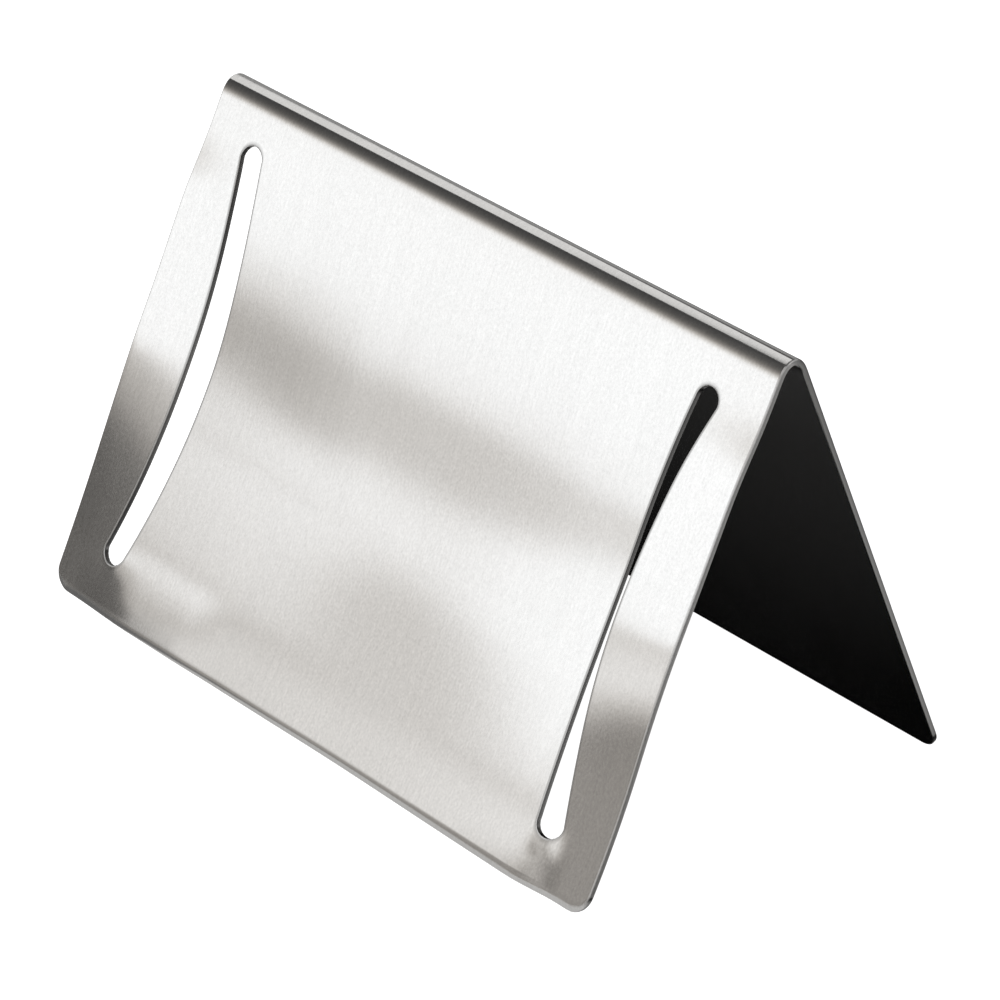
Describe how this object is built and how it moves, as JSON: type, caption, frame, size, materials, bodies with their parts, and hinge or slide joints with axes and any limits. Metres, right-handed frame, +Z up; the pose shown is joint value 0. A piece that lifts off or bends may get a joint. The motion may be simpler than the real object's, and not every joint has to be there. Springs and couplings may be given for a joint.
{
  "type": "place card holder",
  "caption": "Tent-shaped place card holder folded from one brushed steel sheet, with curved slots whose springy strips grip a card against a dished front.",
  "frame": {"origin": "on the table, midway between the two feet and midway along the ridge", "axes": "+X along the ridge, to the right as the card is read; +Y towards the rear leaf; +Z up"},
  "size_m": [0.09, 0.0542, 0.057],
  "materials": {
    "front_sheet": "fine brushed grain running down the slope",
    "strip_sheet": "fine brushed grain running down the slope",
    "rear_sheet": "fine brushed grain running down the slope"
  },
  "bodies": {
    "front_leg": {"front_panel": "front_sheet", "ridge_fold": "front_sheet"},
    "left_strip": {"left_card_strip": "strip_sheet"},
    "right_strip": {"right_card_strip": "strip_sheet"},
    "rear_leg": {"rear_panel": "rear_sheet"}
  },
  "joints": [
    {"name": "left_strip_flex", "type": "slide", "parent": "front_leg", "child": "left_strip", "axis": [0, -0.91, 0.4147], "range_m": [0, 0.0012], "stiffness_N_per_m": 4000},
    {"name": "right_strip_flex", "type": "slide", "parent": "front_leg", "child": "right_strip", "axis": [0, -0.91, 0.4147], "range_m": [0, 0.0012], "stiffness_N_per_m": 4000},
    {"name": "rear_leg_flex", "type": "hinge", "parent": "front_leg", "child": "rear_leg", "pos_m": [0, 0, 0.05522], "axis": [1, 0, 0], "range_deg": [-4, 4], "stiffness_Nm_per_rad": 8}
  ]
}
